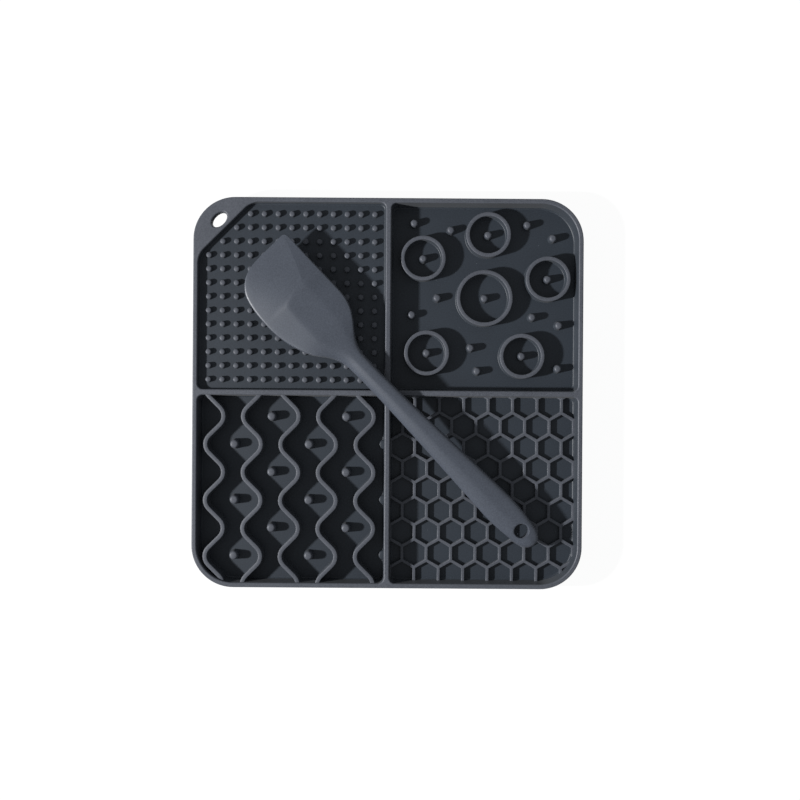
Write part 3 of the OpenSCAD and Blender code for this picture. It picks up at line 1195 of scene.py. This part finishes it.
    def surface(self, x: float, y: float, left: float, top: float) -> float:
        """Gives the height of the blade's left slope, which turns softly into its front slope.

        Args:
            x: Distance from the neck, in millimetres.
            y: Distance from the middle line, in millimetres.
            left: The left edge's distance from the middle line.
            top: The height of the tongue or the ridge there.

        Returns:
            The height above the blade's middle plane, in millimetres.
        """
        low = between(self.left_height, x)
        if x <= self.tongue_end:
            return low + (top - low) * (left - y) / (left - between(self.spine_left, x))
        end = between(self.left_height, self.tongue_end)
        slope = (between(self.spine_height, self.tongue_end) - end) / (
            between(self.left_edge, self.tongue_end) - between(self.spine_left, self.tongue_end)
        )
        side = low + slope * (left - y)
        overlap = max(self.blending - abs(side - top), 0) / self.blending
        return min(side, top) - self.blending * overlap * overlap / 4

    def blade_ring(self, x: float) -> list[Point]:
        """Lists the points of the blade's section at a distance from the neck.

        Args:
            x: The distance, in millimetres.

        Returns:
            The points, from the left edge over the top to the right edge and back below.
        """
        left, right = between(self.left_edge, x), between(self.right_edge, x)
        spine_left, spine_right = between(self.spine_left, x), between(self.spine_right, x)
        low_left, low_right = between(self.left_height, x), between(self.right_height, x)
        length = self.blade_length / MM
        top = between(self.spine_height, x)
        if x > self.tongue_end:
            drop = (top - self.front_height) * (length - x) / (length - self.tongue_end)
            top = self.front_height + drop
        upper = [(left - self.edge_inset - self.edge_slant * low_left, low_left)]
        for share in self.left_shares:
            y = left + (spine_left - left) * share
            upper.append((y, self.surface(x, y, left, top)))
        upper += [(spine_left, top), ((spine_left + spine_right) / 2, top), (spine_right, top)]
        for share in self.right_shares:
            y = spine_right + (right - spine_right) * share
            upper.append((y, top + (low_right - top) * share))
        upper.append((right + self.edge_inset + self.edge_slant * low_right, low_right))
        lower = [(y, min(-z, z - self.edge_thickness)) for y, z in upper]
        middles = [(upper[i][1] + lower[i][1]) / 2 for i in (0, -1)]
        ring = [(left, middles[0]), *upper, (right, middles[1]), *reversed(lower)]
        lift = self.rise / MM * (x / length) ** 2
        return [(x, y, z + lift) for y, z in ring]

    def side(self, out: float, left: float, right: float) -> Spot:
        """Picks the edge and the flatness of the side that a point of the handle is on."""
        return (left, self.left_flatness) if out > 0 else (right, self.right_flatness)

    def oval_ring(self, x: float, left: float, right: float, height: float) -> list[Point]:
        """Lists the points of an oval section with a flattened top and underside.

        Args:
            x: Distance from the neck, in millimetres.
            left: The left edge's distance from the middle line.
            right: The right edge's distance from the middle line.
            height: The half thickness.

        Returns:
            The points, in the order of the blade's.
        """
        ring = []
        crest = self.crest_share * right
        for number in range(self.points):
            turned = math.tau * number / self.points
            out, up = math.cos(turned), math.sin(turned)
            edge, flatness = self.side(out, left, right)
            power = 2 / flatness
            across = crest + abs(out) ** power * (edge - crest)
            ring.append((x, across, math.copysign(abs(up) ** power, up) * height))
        return ring

    def rings(self) -> list[list[Point]]:
        """Lists all the sections, from the handle's round end to the blade's front edge."""
        rows = []
        for x in self.handle_stations:
            half = between(self.handle_half_width, x)
            rows.append(self.oval_ring(x, half, -half, between(self.handle_height, x)))
        for x in self.blade_stations:
            share = min(max((x - self.blend_start) / self.blend_run, 0), 1)
            blend = share * share * (3 - 2 * share)
            edges = between(self.left_edge, x), between(self.right_edge, x)
            pairs = zip(self.oval_ring(x, *edges, self.neck_height), self.blade_ring(x))
            rows.append([tuple(Vector(a).lerp(Vector(b), blend)) for a, b in pairs])
        return rows

    def skin(self) -> bpy.types.Object:
        """Models the skin as a ring that is extruded from section to section.

        Returns:
            The closed, subdivided skin in the spatula's own frame.
        """
        bpy.ops.object.select_all(action="DESELECT")
        bpy.ops.mesh.primitive_circle_add(vertices=self.points, radius=MM, fill_type="NGON")
        skin = settle(bpy.context.active_object, "spatula_skin")
        rows = self.rings()
        with editing(skin):
            for number, row in enumerate(rows):
                if number:
                    bpy.ops.mesh.extrude_region_move(TRANSFORM_OT_translate={"value": (MM, 0, 0)})
                mesh = bmesh.from_edit_mesh(skin.data)
                ring = sorted((v for v in mesh.verts if v.select), key=lambda v: v.index)
                for vert, place in zip(ring, row):
                    vert.co = Vector(place) * MM
                bmesh.update_edit_mesh(skin.data)
            self.crease_ridges(skin)
            bpy.ops.mesh.select_all(action="SELECT")
            bpy.ops.mesh.normals_make_consistent(inside=False)
        apply_modifier(skin, "SUBSURF", levels=2, render_levels=2)
        return skin

    def crease_ridges(self, skin: bpy.types.Object) -> None:
        """Creases the blade's edges and both sides of its spine.

        Args:
            skin: The skin in edit mode, before it is subdivided.
        """
        count = self.points
        start = (len(self.handle_stations) + self.first_crease) * count
        lines = {}
        for above, sharpness in (
            (self.ridge_lines, self.ridge_crease),
            (self.rim_lines, self.rim_crease),
        ):
            lines |= {line: sharpness for n in above for line in (n, count - n)}
        for line, sharpness in lines.items():

            def runs(edge: bmesh.types.BMEdge, line: int = line) -> bool:
                """Says whether an edge runs along a numbered line of the blade."""
                low, high = sorted(v.index for v in edge.verts)
                return high - low == count and low % count == line and low >= start

            pick(skin, Part.EDGE, runs)
            bpy.ops.transform.edge_crease(value=sharpness)

    def hole_tool(self) -> bpy.types.Object:
        """Models the tool that cuts the hanging hole, flared to round the hole's edges."""
        half = between(self.handle_height, self.hole_x / MM) * MM
        radius, flare = self.hole_radius, self.hole_round
        curve = [
            (radius + flare * (1 - math.cos(a)), half - flare * (1 - math.sin(a)))
            for a in (math.radians(30 * i) for i in range(4))
        ]
        upper = [*curve, (radius + 1.6 * flare, half + 0.3 * flare), (0, half + 0.3 * flare)]
        profile = [*upper, *((out, -height) for out, height in reversed(upper))]
        tool = spin_profile("hole_tool", profile, 48)
        half_width = between(self.handle_half_width, self.hole_x / MM) * MM
        crest = -self.crest_share * half_width
        with editing(tool):
            mesh = bmesh.from_edit_mesh(tool.data)
            for vert in mesh.verts:
                out = vert.co.y - crest
                edge, power = self.side(out, half_width, -half_width)
                drop = half * (1 - (1 - (out / (edge - crest)) ** power) ** (1 / power))
                vert.co.z -= math.copysign(drop, vert.co.z)
            bmesh.update_edit_mesh(tool.data)
        tool.location.x = self.hole_x
        return settle(tool, "hole_tool")

    def model(self) -> bpy.types.Object:
        """Models the spatula and lays it across the mat.

        Returns:
            The finished spatula.
        """
        skin = self.skin()
        combine(skin, self.hole_tool(), "DIFFERENCE")
        turned = Matrix.Rotation(math.radians(self.turn), 4, "Z")
        tilted = Matrix.Rotation(math.radians(-self.tilt), 4, "Y")
        skin.matrix_world = Matrix.Translation(self.neck) @ (turned @ tilted)
        settle(skin, "spatula_skin")
        with editing(skin):
            weld()
        smooth(skin)
        return skin


# Studio


@dataclass
class Studio:
    """White floor, one lamp from the left, soft fill all round, and the camera straight above."""

    lamp_spot: Point = (-510 * MM, -76 * MM, 376 * MM)
    lamp_power: float = 48.0
    lamp_radius: float = 19 * MM
    fill: float = 0.235
    camera_spot: Point = (6.4 * MM, -3.5 * MM, 565 * MM)
    camera_turn: float = 0.4
    lens: float = 48.36
    floor_side: float = 6.0
    shadow_share: float = 0.12
    glow: float = 1.08
    floor_colour: Point = (0.85, 0.85, 0.85)
    fill_colour: Point = (0.93, 0.96, 1)

    def backdrop(self) -> bpy.types.Material:
        """Builds the floor's material, white to the camera and darker in the object's shadow."""
        material = bpy.data.materials.new("studio_floor")
        material.use_nodes = True
        paint = Painter(material.node_tree)
        paint.tree.nodes.remove(paint.tree.nodes["Principled BSDF"])
        matte = paint.add("ShaderNodeBsdfDiffuse", {"Color": (*self.floor_colour, 1)})[0]
        glow = paint.add("ShaderNodeEmission", {"Strength": self.glow})[0]
        path = paint.add("ShaderNodeLightPath", {})
        rays = {0: path["Is Camera Ray"], 1: path["Is Glossy Ray"]}
        either = paint.add("ShaderNodeMath", rays, operation="MAXIMUM")[0]
        shown = {0: either, 1: 1 - self.shadow_share}
        share = paint.add("ShaderNodeMath", shown, operation="MULTIPLY")[0]
        mix = paint.add("ShaderNodeMixShader", {"Fac": share, 1: matte, 2: glow})[0]
        paint.feed(paint.tree.nodes["Material Output"], {"Surface": mix})
        return material

    def floor(self) -> None:
        """Lays the floor just under the suction cups."""
        bpy.ops.object.select_all(action="DESELECT")
        bpy.ops.mesh.primitive_plane_add(size=self.floor_side, location=(0, 0, -0.05 * MM))
        floor = settle(bpy.context.active_object, "studio_floor")
        floor.data.materials.append(self.backdrop())

    def lights(self) -> None:
        """Hangs the lamp and sets the fill."""
        bpy.ops.object.light_add(type="POINT", location=self.lamp_spot)
        lamp = bpy.context.active_object
        lamp.name = "key_lamp"
        lamp.data.energy = self.lamp_power
        lamp.data.shadow_soft_size = self.lamp_radius
        lamp.data.use_nodes = True
        paint = Painter(lamp.data.node_tree)
        falloff = paint.add("ShaderNodeLightFalloff", {"Strength": 1})["Constant"]
        paint.feed(paint.tree.nodes["Emission"], {"Strength": falloff})
        world = bpy.data.worlds.new("studio")
        bpy.context.scene.world = world
        world.use_nodes = True
        paint = Painter(world.node_tree)
        light = {"Color": (*self.fill_colour, 1), "Strength": self.fill}
        fill = paint.feed(paint.tree.nodes["Background"], light)[0]
        seen = paint.add("ShaderNodeBackground", {"Color": (1, 1, 1, 1)})[0]
        path = paint.add("ShaderNodeLightPath", {})["Is Camera Ray"]
        mix = paint.add("ShaderNodeMixShader", {"Fac": path, 1: fill, 2: seen})[0]
        paint.feed(paint.tree.nodes["World Output"], {"Surface": mix})

    def camera(self) -> None:
        """Places the camera above the mat, looking straight down."""
        turned = (0, 0, math.radians(self.camera_turn))
        bpy.ops.object.camera_add(location=self.camera_spot, rotation=turned)
        camera = bpy.context.active_object
        camera.name = "studio_camera"
        camera.data.lens = self.lens
        camera.data.sensor_width = 36
        camera.data.clip_start = 0.01
        bpy.context.scene.camera = camera

    def build(self) -> None:
        """Builds the whole studio."""
        self.floor()
        self.lights()
        self.camera()
        bpy.context.scene.view_settings.view_transform = "Standard"


def main() -> None:
    """Builds the mat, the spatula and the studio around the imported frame."""
    logging.basicConfig(level=logging.INFO, format="%(message)s")
    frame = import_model()

    # Painted shade: the mat's pieces are lighter at their tops and darker low in the pockets; each
    # crest below is where it ends.
    lit_top = Tone((0.101, 0.11, 0.132), 0.44)
    shaded_low = Tone((0.0258, 0.0355, 0.0495), 0.44)
    on_mat = Dresser(MatteSilicone("mat_silicone", lit_top, shaded_low), "mat_silicone", "mat")
    skin = Tone((0.0764, 0.0893, 0.1162), 0.38)
    spatula_silicone = MatteSilicone("spatula_silicone", skin, skin, specular=1.0)
    on_spatula = Dresser(spatula_silicone, "spatula_silicone", "spatula")

    tray = Tray()
    body_nodes = ("base_floor", "outer_rim", "hanging_tab", "panel_dividers", "raised_panel_floor")
    on_mat.dress(tray.model(), *body_nodes, crest=14.6 * MM)
    on_mat.dress(ShortNubPanel(tray).model(), "short_nubs", crest=13.2 * MM)
    rings = RingPanel(tray)
    on_mat.dress(rings.model_small(), "small_rings", crest=10.85 * MM, fade=0.35 * MM)
    on_mat.dress(rings.model_large(), "large_ring", crest=10.85 * MM, fade=0.35 * MM)
    on_mat.dress(rings.model_nubs(), "ring_panel_nubs", crest=8.6 * MM, fade=1.5 * MM)
    waves = WavePanel(tray)
    on_mat.dress(waves.model_ribs(), "wave_ribs", crest=13.35 * MM, fade=0.35 * MM)
    on_mat.dress(waves.model_nubs(), "wave_panel_nubs", crest=9.6 * MM, fade=2 * MM)
    on_mat.dress(HoneycombPanel(tray).model(), "honeycomb_walls", crest=6.5 * MM, fade=0.3 * MM)
    on_mat.dress(SuctionCups(tray).model(), "suction_cups", crest=1.0)
    on_spatula.dress(Spatula().model(), "spatula_blade", "spatula_handle")

    core = frame["nodes"]["spatula_core"]
    core.data.materials.clear()
    core.data.materials.append(MouldedNylon().make())

    Studio().build()


if __name__ == "__main__":
    main()
